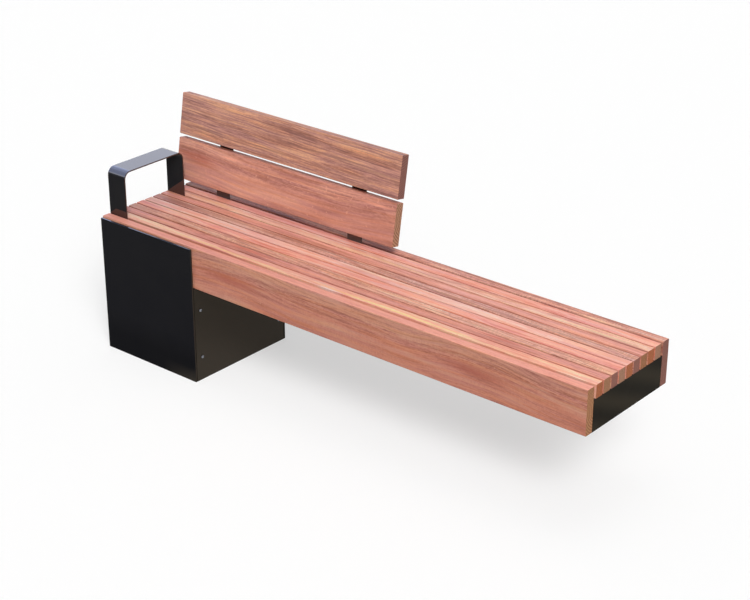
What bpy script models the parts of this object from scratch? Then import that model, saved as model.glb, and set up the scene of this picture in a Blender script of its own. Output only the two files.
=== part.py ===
# Cantilever seat: a slatted hardwood bench that hangs out from a black steel base at one end,
# with a half-length backrest and one armrest.
# Metres, +Z up. +X runs along the seat to its free end, -Y is the front.
# The origin is on the ground, at the middle of the base plate's underside.

from math import cos, pi, radians, sin, tan

import bmesh
import bpy
from mathutils import Vector

# Fit
FIT = 0.0003                    # gap left between pieces that touch
SCREW_CLEARANCE = 0.0003        # radial play of a screw in its hole

# Seat timber
SEAT_HEIGHT = 0.450
TIMBER_LENGTH = 1.805
BOARD_THICKNESS = 0.030         # fascias and slats alike
FASCIA_HEIGHT = 0.135
SLAT_HEIGHT = 0.0405
SLAT_COUNT = 9
SLAT_GAP = 0.005                # between two slats
END_GAP = 0.009                 # between a fascia and the slat beside it
FASCIA_ROUNDING = 0.0035
SLAT_ROUNDING = 0.0025

# Flat bar of the armrest and the brackets
BAR_THICKNESS = 0.004

# Base box
BASE_LENGTH = 0.393
PANEL_HEIGHT = 0.445
PANEL_THICKNESS = 0.006
PANEL_CORNER = 0.0015           # rounding of the panels' top corners
PANEL_TO_TIMBER = 0.0025
SIDE_PANEL_THICKNESS = 0.004
SIDE_PANEL_GAP = 0.001          # shadow line beside the front and rear panels
BASE_PLATE_THICKNESS = 0.010
POST_WIDTH = 0.050
POST_DEPTH = 0.080
POST_WALL = 0.004

# Side panel screws, button heads with a hexagon socket
SIDE_SCREW_INSET = 0.031        # from the base's front and back faces
SIDE_SCREW_LOW = 0.0775
SIDE_SCREW_HIGH = 0.2355
SIDE_SCREW_RADIUS = 0.003
SIDE_SCREW_HEAD_RADIUS = 0.00525
SIDE_SCREW_HEAD_HEIGHT = 0.0033
SIDE_SCREW_CROWN_RADIUS = 0.0028    # flat ring round the socket
SIDE_SCREW_RIM = 0.0006         # square rim below the dome
SIDE_SCREW_SOCKET = 0.004       # across flats
SIDE_SCREW_SOCKET_DEPTH = 0.002
SIDE_SCREW_TAIL = 0.005         # what stands out behind the post's wall

# Anchor bolts
ANCHOR_X = 0.100
ANCHOR_Y = 0.150
ANCHOR_RADIUS = 0.006
ANCHOR_HOLE_RADIUS = 0.007
ANCHOR_WASHER_RADIUS = 0.0145
ANCHOR_WASHER_THICKNESS = 0.0025
ANCHOR_NUT_WIDTH = 0.019        # across flats
ANCHOR_NUT_HEIGHT = 0.010
ANCHOR_TAIL = 0.008             # thread above the nut

# Steel frame under the slats
BEAM_WIDTH = 0.050
BEAM_WALL = 0.004
BEARER_COUNT = 5
BEARER_WIDTH = 0.050
BEARER_THICKNESS = 0.006
LAST_BEARER_INSET = 0.010       # from the free end's plate
END_PLATE_THICKNESS = 0.004
RAIL_THICKNESS = 0.006          # fills the gap between beam and fascia
RAIL_HEIGHT = 0.030
RAIL_LIFT = 0.004               # above the fascia's lower edge
RAIL_END_INSET = 0.006

# Backrest
BACKREST_LEAN = radians(9.7)
PLANK_LENGTH = 0.902
PLANK_HEIGHT = 0.134
PLANK_THICKNESS = 0.030
PLANK_GAP = 0.0115
PLANK_OVERHANG = 0.002          # to the left of the seat's boards
PLANK_ROUNDING = 0.0025
PLANK_RISE = 0.005              # from the brackets' bend to the lower plank
BRACKET_WIDTH = 0.055
BRACKET_INSET = 0.1525          # from the planks' left ends
BRACKET_SPACING = 0.551
BRACKET_BEND_RISE = 0.022       # the bend's height above the seat
BRACKET_BEND_RADIUS = 0.012     # of the bar's middle line
BRACKET_ABOVE_RAIL = 0.010
BRACKET_BELOW_TOP = 0.016       # its end is hidden behind the upper plank

# Coach screws of the planks, hexagon heads behind the brackets
PLANK_SCREW_SPREAD = 0.070      # between the two screws of a plank
PLANK_SCREW_RADIUS = 0.003
PLANK_SCREW_DEPTH = 0.020       # in the plank
PLANK_SCREW_WASHER_RADIUS = 0.009
PLANK_SCREW_WASHER_THICKNESS = 0.0016
PLANK_SCREW_HEAD_WIDTH = 0.010  # across flats
PLANK_SCREW_HEAD_HEIGHT = 0.004

# Armrest
ARM_WIDTH = 0.075
ARM_RISE = 0.150                # its top above the seat
ARM_BEND_RADIUS = 0.025         # outside of the bend
ARM_BACK_GAP = 7                # its rear leg stands behind this slat
ARM_WELD = 0.030                # how far its front leg overlaps the beam's side

# Segments of round shapes
ARC_STEPS = 8
DOME_STEPS = 4
ROUNDING_STEPS = 3
SCREW_STEPS = 20

# Levels and places worked out from the sizes above
SLAT_PITCH = BOARD_THICKNESS + SLAT_GAP
SLATS_DEPTH = SLAT_COUNT * SLAT_PITCH - SLAT_GAP
SEAT_DEPTH = SLATS_DEPTH + 2 * (END_GAP + BOARD_THICKNESS)
BASE_DEPTH = SEAT_DEPTH + 2 * (PANEL_TO_TIMBER + PANEL_THICKNESS)
TIMBER_START = -BASE_LENGTH / 2
TIMBER_END = TIMBER_START + TIMBER_LENGTH
FASCIA_BOTTOM = SEAT_HEIGHT - FASCIA_HEIGHT
SLAT_BOTTOM = SEAT_HEIGHT - SLAT_HEIGHT
BEARER_TOP = SLAT_BOTTOM - FIT
BEAM_TOP = BEARER_TOP - BEARER_THICKNESS - FIT
FRAME_INNER_Y = SEAT_DEPTH / 2 - BOARD_THICKNESS        # inner faces of the fascias
BEAM_OUTER_Y = FRAME_INNER_Y - RAIL_THICKNESS - 2 * FIT
BAR_MIDDLE_Y = BEAM_OUTER_Y + FIT + BAR_THICKNESS / 2   # flat bar welded to a beam's side
PANEL_INNER_Y = BASE_DEPTH / 2 - PANEL_THICKNESS
SIDE_OUTER_X = BASE_LENGTH / 2
SIDE_INNER_X = SIDE_OUTER_X - SIDE_PANEL_THICKNESS
POST_OUTER_X = SIDE_INNER_X - FIT
POST_OUTER_Y = PANEL_INNER_Y - FIT
BRACKET_BEND_Z = SEAT_HEIGHT + BRACKET_BEND_RISE
BACKREST_START = TIMBER_START - PLANK_OVERHANG

# Timber colours, one for each board, from the front fascia to the rear one
FASCIA_TONES = {"front_fascia": (0.47, 0.16, 0.10), "rear_fascia": (0.30, 0.13, 0.10)}
PLANK_TONES = {"lower": (0.50, 0.18, 0.12), "upper": (0.42, 0.18, 0.12)}
SLAT_TONES = [
    (0.66, 0.36, 0.20), (0.55, 0.20, 0.16), (0.38, 0.18, 0.12),
    (0.62, 0.26, 0.17), (0.64, 0.30, 0.22), (0.30, 0.13, 0.09),
    (0.55, 0.17, 0.12), (0.60, 0.33, 0.20), (0.55, 0.19, 0.14),
]
BLACK_COAT = (0.015, 0.015, 0.017)
STAINLESS = (0.60, 0.60, 0.62)
GALVANISED = (0.48, 0.49, 0.50)


def clear_scene():
    for obj in list(bpy.data.objects):
        bpy.data.objects.remove(obj, do_unlink=True)


def make_collection(name):
    collection = bpy.data.collections.new(name)
    bpy.context.scene.collection.children.link(collection)
    return collection


def surface(name, colour, roughness, metallic):
    material = bpy.data.materials.new(name)
    material.use_nodes = True
    shader = material.node_tree.nodes["Principled BSDF"]
    shader.inputs["Base Color"].default_value = (*colour, 1.0)
    shader.inputs["Roughness"].default_value = roughness
    shader.inputs["Metallic"].default_value = metallic
    return material


def timber(name, tone):
    return surface(name + "_hardwood", tone, 0.55, 0.0)


def black_coat(name):
    return surface(name + "_powder_coat", BLACK_COAT, 0.25, 0.0)


def add_object(name, mesh, material, location=(0, 0, 0), rotation=(0, 0, 0), parent=None):
    obj = bpy.data.objects.new(name, mesh)
    obj.location = location
    obj.rotation_euler = rotation
    obj.parent = parent
    mesh.materials.append(material)
    parts.objects.link(obj)
    return obj


def as_cutter(obj):
    for collection in list(obj.users_collection):
        collection.objects.unlink(obj)
    cutters.objects.link(obj)
    obj.hide_render = True
    obj.display_type = "WIRE"
    return obj


def boolean(obj, tool, operation="DIFFERENCE"):
    modifier = obj.modifiers.new(operation.title(), "BOOLEAN")
    modifier.operation = operation
    modifier.solver = "EXACT"
    modifier.object = tool


def box_mesh(name, size, rounding=0.0, along=None, only_top=False):
    # A box around its own middle. The edges along one axis can be rounded, all four or the top two.
    mesh = bpy.data.meshes.new(name)
    shape = bmesh.new()
    bmesh.ops.create_cube(shape, size=1.0)
    bmesh.ops.scale(shape, vec=size, verts=shape.verts)
    if rounding > 0:
        rounded = [edge for edge in shape.edges
                   if abs(edge.verts[0].co[along] - edge.verts[1].co[along]) > size[along] / 2
                   and (not only_top or edge.verts[0].co.z > 0)]
        bmesh.ops.bevel(shape, geom=rounded, offset=rounding, offset_type="OFFSET",
                        segments=ROUNDING_STEPS, profile=0.5, affect="EDGES")
    bmesh.ops.recalc_face_normals(shape, faces=shape.faces)
    shape.to_mesh(mesh)
    shape.free()
    return mesh


def box(name, low, high, material, rounding=0.0, along=None, only_top=False, parent=None):
    low, high = Vector(low), Vector(high)
    mesh = box_mesh(name, high - low, rounding, along, only_top)
    return add_object(name, mesh, material, (low + high) / 2, parent=parent)


def rod_mesh(name, radius, length, sides=SCREW_STEPS):
    # A rod or, with six sides, a hexagon bar, along +Z from the origin.
    mesh = bpy.data.meshes.new(name)
    shape = bmesh.new()
    bmesh.ops.create_cone(shape, cap_ends=True, segments=sides, radius1=radius, radius2=radius,
                          depth=length)
    bmesh.ops.translate(shape, vec=(0, 0, length / 2), verts=shape.verts)
    shape.to_mesh(mesh)
    shape.free()
    return mesh


def hole_cutter(name, radius, start, length, rotation=(0, 0, 0), parent=None):
    # A round cutter that starts at a point and runs along its own +Z.
    cutter = add_object(name, rod_mesh(name, radius, length), cutter_surface, start, rotation, parent)
    return as_cutter(cutter)


def hexagon_radius(across_flats):
    return across_flats / (2 * cos(pi / 6))


def turned(name, profile, material, location, rotation, parent=None):
    # Turns a profile of (radius, height) points, from the axis at the top down to the axis below.
    mesh = bpy.data.meshes.new(name)
    points = [(radius, 0, height) for radius, height in profile]
    mesh.from_pydata(points, [(i, i + 1) for i in range(len(points) - 1)], [])
    obj = add_object(name, mesh, material, location, rotation, parent)
    lathe = obj.modifiers.new("Lathe", "SCREW")
    lathe.axis = "Z"
    lathe.angle = 2 * pi
    lathe.steps = SCREW_STEPS
    lathe.render_steps = SCREW_STEPS
    lathe.use_merge_vertices = True
    lathe.merge_threshold = 0.00001
    return obj


def bar_outline(path, radius, thickness):
    # The outline of a bent flat bar: a path of its middle line, bent at each inner point to one radius.
    points = [Vector(point) for point in path]
    middle = [(points[0], (points[1] - points[0]).normalized())]
    for before, corner, after in zip(points, points[1:], points[2:]):
        way_in = (corner - before).normalized()
        way_out = (after - corner).normalized()
        turn = way_in.angle_signed(way_out)
        start = corner - way_in * radius * tan(abs(turn) / 2)
        side = Vector((way_in.y, -way_in.x)) if turn > 0 else Vector((-way_in.y, way_in.x))
        centre = start + side * radius
        for step in range(ARC_STEPS + 1):
            angle = -turn * step / ARC_STEPS
            spoke = rotate_2d(-side, angle)
            middle.append((centre + spoke * radius, rotate_2d(way_in, angle)))
    middle.append((points[-1], (points[-1] - points[-2]).normalized()))
    half = thickness / 2
    left = [point + Vector((-way.y, way.x)) * half for point, way in middle]
    right = [point - Vector((-way.y, way.x)) * half for point, way in middle]
    return left + right[::-1]


def rotate_2d(vector, angle):
    return Vector((vector.x * cos(angle) - vector.y * sin(angle),
                   vector.x * sin(angle) + vector.y * cos(angle)))


def bent_bar(name, path, radius, width, start_x, material):
    # A flat bar whose bends show from the side: its outline lies in the YZ plane.
    outline = bar_outline(path, radius, BAR_THICKNESS)
    curve = bpy.data.curves.new(name, "CURVE")
    curve.dimensions = "2D"
    curve.fill_mode = "BOTH"
    curve.extrude = width / 2
    spline = curve.splines.new("POLY")
    spline.points.add(len(outline) - 1)
    for point, place in zip(spline.points, outline):
        point.co = (place.x, place.y, 0, 1)
    spline.use_cyclic_u = True
    drawn = bpy.data.objects.new(name + "_outline", curve)
    drawn.location = (start_x + width / 2, 0, 0)
    drawn.rotation_euler = (pi / 2, 0, pi / 2)
    parts.objects.link(drawn)
    bpy.context.view_layer.update()
    evaluated = drawn.evaluated_get(bpy.context.evaluated_depsgraph_get())
    mesh = bpy.data.meshes.new_from_object(evaluated)
    mesh.name = name
    weld_caps(mesh)
    obj = add_object(name, mesh, material)
    obj.matrix_world = drawn.matrix_world
    bpy.data.objects.remove(drawn, do_unlink=True)
    return obj


def weld_caps(mesh):
    shape = bmesh.new()
    shape.from_mesh(mesh)
    bmesh.ops.remove_doubles(shape, verts=shape.verts, dist=0.00001)
    bmesh.ops.recalc_face_normals(shape, faces=shape.faces)
    shape.to_mesh(mesh)
    shape.free()


def tube(name, low, high, wall, along, material):
    # A rectangular hollow section, open at both ends.
    low, high = Vector(low), Vector(high)
    obj = box(name, low, high, material)
    inset = Vector([-wall if axis == along else wall for axis in range(3)])
    bore = as_cutter(box(name + "_bore", low + inset, high - inset, cutter_surface))
    boolean(obj, bore)
    return obj


def slat_middle_y(number):
    return -SLATS_DEPTH / 2 + BOARD_THICKNESS / 2 + (number - 1) * SLAT_PITCH


def make_board(name, middle, height, rounding, tone):
    low = (TIMBER_START, middle - BOARD_THICKNESS / 2, SEAT_HEIGHT - height)
    high = (TIMBER_END, middle + BOARD_THICKNESS / 2, SEAT_HEIGHT)
    box(name, low, high, timber(name, tone), rounding, along=0)


def make_seat_boards():
    for name, side in (("front_fascia", -1), ("rear_fascia", 1)):
        middle = side * (SEAT_DEPTH - BOARD_THICKNESS) / 2
        make_board(name, middle, FASCIA_HEIGHT, FASCIA_ROUNDING, FASCIA_TONES[name])
    for number in range(1, SLAT_COUNT + 1):
        tone = SLAT_TONES[(number - 1) % len(SLAT_TONES)]
        make_board(f"slat_{number}", slat_middle_y(number), SLAT_HEIGHT, SLAT_ROUNDING, tone)


def make_front_and_rear_panels():
    for name, side in (("front_panel", -1), ("rear_panel", 1)):
        outer, inner = side * BASE_DEPTH / 2, side * PANEL_INNER_Y
        box(name, (-BASE_LENGTH / 2, min(outer, inner), 0),
            (BASE_LENGTH / 2, max(outer, inner), PANEL_HEIGHT),
            black_coat(name), PANEL_CORNER, along=1, only_top=True)


def side_screw_places():
    y = BASE_DEPTH / 2 - SIDE_SCREW_INSET
    return [(-y, SIDE_SCREW_LOW), (-y, SIDE_SCREW_HIGH), (y, SIDE_SCREW_LOW), (y, SIDE_SCREW_HIGH)]


def make_side_panel(name, side, posts):
    # side is +1 for the panel under the seat's long end, -1 for the one at the base's outer end.
    y = PANEL_INNER_Y - SIDE_PANEL_GAP
    x_range = sorted((side * SIDE_OUTER_X, side * SIDE_INNER_X))
    panel = box(name, (x_range[0], -y, 0), (x_range[1], y, FASCIA_BOTTOM - FIT),
                black_coat(name))
    for number, (screw_y, screw_z) in enumerate(side_screw_places(), 1):
        place = (side * SIDE_OUTER_X, screw_y, screw_z)
        make_side_screw(f"{name}_screw_{number}", place, side)
        for piece in (panel, posts[side, 1 if screw_y > 0 else -1]):
            boolean(piece, side_screw_hole(f"{piece.name}_hole_{number}", place, side))


def side_screw_turn(side):
    # Turns +Z to point out of the panel.
    return (0, side * pi / 2, 0)


def side_screw_hole(name, place, side):
    out = SIDE_SCREW_HEAD_HEIGHT
    start = (place[0] + side * out, place[1], place[2])
    length = out + SIDE_PANEL_THICKNESS + FIT + POST_WALL + SIDE_SCREW_TAIL
    return hole_cutter(name, SIDE_SCREW_RADIUS + SCREW_CLEARANCE, start, length,
                       side_screw_turn(-side))


def make_side_screw(name, place, side):
    # Button head: a low dome that meets the panel square, over a plain shank.
    crown, rim = SIDE_SCREW_CROWN_RADIUS, SIDE_SCREW_RIM
    reach = SIDE_PANEL_THICKNESS + FIT + POST_WALL + SIDE_SCREW_TAIL
    dome = []
    for step in range(DOME_STEPS + 1):
        angle = pi / 2 * step / DOME_STEPS
        dome.append((crown + (SIDE_SCREW_HEAD_RADIUS - crown) * sin(angle),
                     FIT + rim + (SIDE_SCREW_HEAD_HEIGHT - rim) * cos(angle)))
    profile = [(0, FIT + SIDE_SCREW_HEAD_HEIGHT)] + dome + [
        (SIDE_SCREW_HEAD_RADIUS, FIT), (SIDE_SCREW_RADIUS, FIT),
        (SIDE_SCREW_RADIUS, -reach), (0, -reach)]
    turn = side_screw_turn(side)
    material = surface(name + "_stainless_steel", STAINLESS, 0.3, 1.0)
    screw = turned(name, profile, material, place, turn)
    bottom = FIT + SIDE_SCREW_HEAD_HEIGHT - SIDE_SCREW_SOCKET_DEPTH
    start = (place[0] + side * bottom, place[1], place[2])
    hexagon = rod_mesh(name + "_socket", hexagon_radius(SIDE_SCREW_SOCKET), SIDE_SCREW_SOCKET_DEPTH * 2, 6)
    boolean(screw, as_cutter(add_object(hexagon.name, hexagon, cutter_surface, start, turn)))


def make_posts():
    # Returns the posts by the signs of their x and y.
    posts = {}
    for x_name, x_side in (("left", -1), ("right", 1)):
        for y_name, y_side in (("front", -1), ("rear", 1)):
            name = f"{y_name}_{x_name}_post"
            xs = sorted((x_side * POST_OUTER_X, x_side * (POST_OUTER_X - POST_WIDTH)))
            ys = sorted((y_side * POST_OUTER_Y, y_side * (POST_OUTER_Y - POST_DEPTH)))
            posts[x_side, y_side] = tube(
                name, (xs[0], ys[0], BASE_PLATE_THICKNESS + FIT), (xs[1], ys[1], FASCIA_BOTTOM - FIT),
                POST_WALL, 2, surface(name + "_galvanised_steel", GALVANISED, 0.5, 1.0))
    return posts


def make_base_plate():
    plate = box("base_plate", (-POST_OUTER_X, -POST_OUTER_Y, 0),
                (POST_OUTER_X, POST_OUTER_Y, BASE_PLATE_THICKNESS),
                surface("base_plate_galvanised_steel", GALVANISED, 0.5, 1.0))
    places = [(x, y) for x in (-ANCHOR_X, ANCHOR_X) for y in (-ANCHOR_Y, ANCHOR_Y)]
    for number, (x, y) in enumerate(places, 1):
        hole = hole_cutter(f"anchor_hole_{number}", ANCHOR_HOLE_RADIUS,
                           (x, y, -BASE_PLATE_THICKNESS / 2), BASE_PLATE_THICKNESS * 2)
        boolean(plate, hole)
        make_anchor_bolt(f"anchor_bolt_{number}", x, y)


def hexagon_fastener(name, sizes, material, location, rotation=(0, 0, 0), parent=None):
    # A shank through a washer, with a hexagon head or nut on it. The washer's lower face is at
    # height FIT, and the shank reaches below it.
    washer_top = FIT + sizes["washer_thickness"]
    profile = [(0, washer_top + sizes["hexagon_height"] + sizes["tail"]),
               (sizes["radius"], washer_top + sizes["hexagon_height"] + sizes["tail"]),
               (sizes["radius"], washer_top), (sizes["washer_radius"], washer_top),
               (sizes["washer_radius"], FIT), (sizes["radius"], FIT),
               (sizes["radius"], -sizes["reach"]), (0, -sizes["reach"])]
    fastener = turned(name, profile, material, location, rotation, parent)
    sunk = sizes["washer_thickness"] / 2
    hexagon = rod_mesh(name + "_hexagon", hexagon_radius(sizes["hexagon_width"]),
                       sizes["hexagon_height"] + sunk, 6)
    raise_mesh(hexagon, washer_top - sunk)
    boolean(fastener, as_cutter(add_object(hexagon.name, hexagon, cutter_surface, location, rotation,
                                           parent)), "UNION")


def raise_mesh(mesh, height):
    for vertex in mesh.vertices:
        vertex.co.z += height


def make_anchor_bolt(name, x, y):
    sizes = {"radius": ANCHOR_RADIUS, "reach": BASE_PLATE_THICKNESS, "tail": ANCHOR_TAIL,
             "washer_radius": ANCHOR_WASHER_RADIUS, "washer_thickness": ANCHOR_WASHER_THICKNESS,
             "hexagon_width": ANCHOR_NUT_WIDTH, "hexagon_height": ANCHOR_NUT_HEIGHT}
    material = surface(name + "_galvanised_steel", GALVANISED, 0.45, 1.0)
    hexagon_fastener(name, sizes, material, (x, y, BASE_PLATE_THICKNESS))


def make_beams():
    for name, side in (("front_beam", -1), ("rear_beam", 1)):
        ys = sorted((side * BEAM_OUTER_Y, side * (BEAM_OUTER_Y - BEAM_WIDTH)))
        end = END_PLATE_THICKNESS + FIT
        tube(name, (TIMBER_START + end, ys[0], FASCIA_BOTTOM), (TIMBER_END - end, ys[1], BEAM_TOP),
             BEAM_WALL, 0, black_coat(name))


def make_fascia_rails():
    for name, side in (("front_fascia_rail", -1), ("rear_fascia_rail", 1)):
        middle = side * (BEAM_OUTER_Y + FRAME_INNER_Y) / 2
        inset = END_PLATE_THICKNESS + RAIL_END_INSET
        low_z = FASCIA_BOTTOM + RAIL_LIFT
        box(name, (TIMBER_START + inset, middle - RAIL_THICKNESS / 2, low_z),
            (TIMBER_END - inset, middle + RAIL_THICKNESS / 2, low_z + RAIL_HEIGHT), black_coat(name))


def bearer_middles():
    # The first bearer lies under the armrest, the last one near the free end.
    first = TIMBER_START + ARM_WIDTH / 2
    last = TIMBER_END - END_PLATE_THICKNESS - LAST_BEARER_INSET - BEARER_WIDTH / 2
    return [first + (last - first) * i / (BEARER_COUNT - 1) for i in range(BEARER_COUNT)]


def make_bearers():
    for number, middle in enumerate(bearer_middles(), 1):
        name = f"bearer_{number}"
        box(name, (middle - BEARER_WIDTH / 2, -BEAM_OUTER_Y, BEARER_TOP - BEARER_THICKNESS),
            (middle + BEARER_WIDTH / 2, BEAM_OUTER_Y, BEARER_TOP), black_coat(name))


def make_end_plates():
    # The one at the base is narrower, because the armrest's leg stands between it and the fascia.
    plates = {"base_end_plate": (TIMBER_START, BEAM_OUTER_Y),
              "free_end_plate": (TIMBER_END - END_PLATE_THICKNESS, FRAME_INNER_Y - FIT)}
    for name, (start, y) in plates.items():
        box(name, (start, -y, FASCIA_BOTTOM), (start + END_PLATE_THICKNESS, y, SLAT_BOTTOM - FIT),
            black_coat(name))


def make_armrest():
    # Its front leg is welded to the beam's side, its rear leg to the first bearer's top.
    front_y = -BAR_MIDDLE_Y
    back_y = slat_middle_y(ARM_BACK_GAP) + SLAT_PITCH / 2
    top = SEAT_HEIGHT + ARM_RISE - BAR_THICKNESS / 2
    path = [(front_y, BEAM_TOP - ARM_WELD), (front_y, top), (back_y, top), (back_y, SLAT_BOTTOM)]
    bent_bar("armrest", path, ARM_BEND_RADIUS - BAR_THICKNESS / 2, ARM_WIDTH, TIMBER_START,
             black_coat("armrest"))


def bracket_starts():
    first = BACKREST_START + BRACKET_INSET
    return {"left_bracket": first, "right_bracket": first + BRACKET_SPACING}


def plank_bottom(level):
    # Height of a plank's lower edge above the bend, along the lean. Level 0 is the lower plank.
    return PLANK_RISE + level * (PLANK_HEIGHT + PLANK_GAP)


def make_backrest():
    # The frame's own Z runs up the lean and its Y runs back. It sits where the brackets bend.
    lean_frame = bpy.data.objects.new("backrest_lean", None)
    lean_frame.location = (0, BAR_MIDDLE_Y, BRACKET_BEND_Z)
    lean_frame.rotation_euler = (-BACKREST_LEAN, 0, 0)
    parts.objects.link(lean_frame)
    brackets = {name: make_bracket(name, start) for name, start in bracket_starts().items()}
    for level, name in enumerate(("lower", "upper")):
        bottom = plank_bottom(level)
        back = -BAR_THICKNESS / 2 - FIT
        plank_name = f"{name}_backrest_plank"
        plank = box(plank_name, (BACKREST_START, back - PLANK_THICKNESS, bottom),
                    (BACKREST_START + PLANK_LENGTH, back, bottom + PLANK_HEIGHT),
                    timber(plank_name, PLANK_TONES[name]), PLANK_ROUNDING, along=0,
                    parent=lean_frame)
        for bracket_name, start in bracket_starts().items():
            for number, side in ((1, -1), (2, 1)):
                place = (start + BRACKET_WIDTH / 2, BAR_THICKNESS / 2,
                         bottom + PLANK_HEIGHT / 2 + side * PLANK_SCREW_SPREAD / 2)
                label = f"{name}_plank_{bracket_name}_screw_{number}"
                fix_plank(label, place, lean_frame, plank, brackets[bracket_name])


def make_bracket(name, start):
    rail_top = FASCIA_BOTTOM + RAIL_LIFT + RAIL_HEIGHT
    length = plank_bottom(1) + PLANK_HEIGHT - BRACKET_BELOW_TOP
    path = [(BAR_MIDDLE_Y, rail_top + BRACKET_ABOVE_RAIL), (BAR_MIDDLE_Y, BRACKET_BEND_Z),
            (BAR_MIDDLE_Y + length * sin(BACKREST_LEAN), BRACKET_BEND_Z + length * cos(BACKREST_LEAN))]
    return bent_bar(name, path, BRACKET_BEND_RADIUS, BRACKET_WIDTH, start, black_coat(name))


def fix_plank(name, place, lean_frame, plank, bracket):
    # One coach screw, from behind, with its hole through the bracket and into the plank.
    turn = (-pi / 2, 0, 0)
    inward = (pi / 2, 0, 0)
    reach = BAR_THICKNESS + FIT + PLANK_SCREW_DEPTH
    hole_start = (place[0], place[1] + BAR_THICKNESS, place[2])
    for piece in (bracket, plank):
        boolean(piece, hole_cutter(f"{piece.name}_{name}_hole", PLANK_SCREW_RADIUS + SCREW_CLEARANCE,
                                   hole_start, BAR_THICKNESS + reach + SCREW_CLEARANCE, inward,
                                   lean_frame))
    sizes = {"radius": PLANK_SCREW_RADIUS, "reach": reach, "tail": 0,
             "washer_radius": PLANK_SCREW_WASHER_RADIUS,
             "washer_thickness": PLANK_SCREW_WASHER_THICKNESS,
             "hexagon_width": PLANK_SCREW_HEAD_WIDTH, "hexagon_height": PLANK_SCREW_HEAD_HEIGHT}
    material = surface(name + "_stainless_steel", STAINLESS, 0.35, 1.0)
    hexagon_fastener(name, sizes, material, place, turn, lean_frame)


clear_scene()
parts = make_collection("cantilever_seat")
cutters = make_collection("cutters")
cutter_surface = surface("cutter", (0.8, 0.1, 0.1), 0.5, 0.0)

make_seat_boards()
make_front_and_rear_panels()
base_posts = make_posts()
make_side_panel("left_side_panel", -1, base_posts)
make_side_panel("right_side_panel", 1, base_posts)
make_base_plate()
make_beams()
make_fascia_rails()
make_bearers()
make_end_plates()
make_armrest()
make_backrest()
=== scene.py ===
# Looks of the cantilever seat: oiled hardwood boards on a black powder coated steel base.
# One Blender unit is a metre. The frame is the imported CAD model.
import math
import bmesh
import bpy
from mathutils import Matrix, Vector, noise


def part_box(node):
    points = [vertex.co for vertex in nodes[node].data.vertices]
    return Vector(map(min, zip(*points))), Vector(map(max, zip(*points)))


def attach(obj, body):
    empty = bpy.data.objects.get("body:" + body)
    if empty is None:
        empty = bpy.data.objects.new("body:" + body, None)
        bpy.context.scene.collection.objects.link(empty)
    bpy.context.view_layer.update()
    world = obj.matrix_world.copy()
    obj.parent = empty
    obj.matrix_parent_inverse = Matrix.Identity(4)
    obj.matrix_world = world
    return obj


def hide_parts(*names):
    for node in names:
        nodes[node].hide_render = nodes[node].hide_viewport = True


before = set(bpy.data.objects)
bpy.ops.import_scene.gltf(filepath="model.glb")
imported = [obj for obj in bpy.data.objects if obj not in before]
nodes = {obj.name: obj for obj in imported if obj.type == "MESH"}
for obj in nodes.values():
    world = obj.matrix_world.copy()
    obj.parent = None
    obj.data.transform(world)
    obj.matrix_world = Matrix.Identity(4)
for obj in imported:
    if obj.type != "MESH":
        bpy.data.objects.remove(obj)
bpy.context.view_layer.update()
scene = bpy.context.scene
mm = 0.001


# Small helpers for colours, shader nodes, meshes and pieces

def hexColour(text):
    # An sRGB hex value as the linear colour that Blender works in.
    parts = [int(text[i:i + 2], 16) / 255 for i in (1, 3, 5)]
    linear = [c / 12.92 if c <= 0.04045 else ((c + 0.055) / 1.055) ** 2.4 for c in parts]
    return (*linear, 1.0)


def addNode(tree, kind, inputs=None, **settings):
    # Adds a shader node, applies its settings, and fills or links each named input.
    node = tree.nodes.new("ShaderNode" + kind)
    for name, value in settings.items():
        setattr(node, name, value)
    for name, value in (inputs or {}).items():
        if isinstance(value, bpy.types.NodeSocket):
            tree.links.new(value, node.inputs[name])
        else:
            node.inputs[name].default_value = value
    return node


def calculate(tree, operation, *values, kind="Math", **settings):
    # Arithmetic on numbers or sockets; kind is VectorMath for places.
    return addNode(tree, kind, dict(enumerate(values)), operation=operation, **settings).outputs[0]


def axisOf(tree, vector, axis):
    return addNode(tree, "SeparateXYZ", {0: vector}).outputs[axis]


def spread(tree, value, low, high, top=1.0):
    # Stretches a part of a value's range to 0..top.
    return addNode(tree, "MapRange", {"Value": value, "From Min": low, "From Max": high, "To Max": top},
                   clamp=True).outputs["Result"]


def mixColour(tree, share, first, second, blend="MIX"):
    # From the first colour at a share of 0 to the second at 1. A colour is a hex value or a socket.
    first, second = [hexColour(each) if isinstance(each, str) else each for each in (first, second)]
    return addNode(tree, "Mix", {0: share, 6: first, 7: second}, data_type="RGBA", blend_type=blend,
                   clamp_factor=True).outputs[2]


def addRamp(tree, factor, stops):
    # A colour ramp; a stop is (place, hex value).
    ramp = addNode(tree, "ValToRGB", {0: factor})
    elements = ramp.color_ramp.elements
    while len(elements) < len(stops):
        elements.new(0.5)
    for element, (place, shade) in zip(elements, stops):
        element.position = place
        element.color = hexColour(shade)
    return ramp.outputs["Color"]


def newMaterial(name):
    material = bpy.data.materials.new(name)
    material.use_nodes = True
    tree = material.node_tree
    return material, tree, tree.nodes["Principled BSDF"]


meshing = {
    "crease": 35.0,             # degrees: sharper edges stay crisp
    "weldCrease": 50.0,
    "sameSpot": 0.01 * mm,      # CAD corners this close are one
    "flatAngle": 0.5,           # degrees: flatter edges go
    "easedAngle": 40.0,         # degrees: sharper edges of the steel are eased
    "easedSteps": 3,
}


def skinRings(shape, rings):
    # Faces from each ring of points to the next, and a cap on both ends.
    for first, second in zip(rings, rings[1:]):
        for i in range(len(first)):
            j = (i + 1) % len(first)
            shape.faces.new((first[i], second[i], second[j], first[j]))
    shape.faces.new(rings[0])
    shape.faces.new(rings[-1][::-1])


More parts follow.
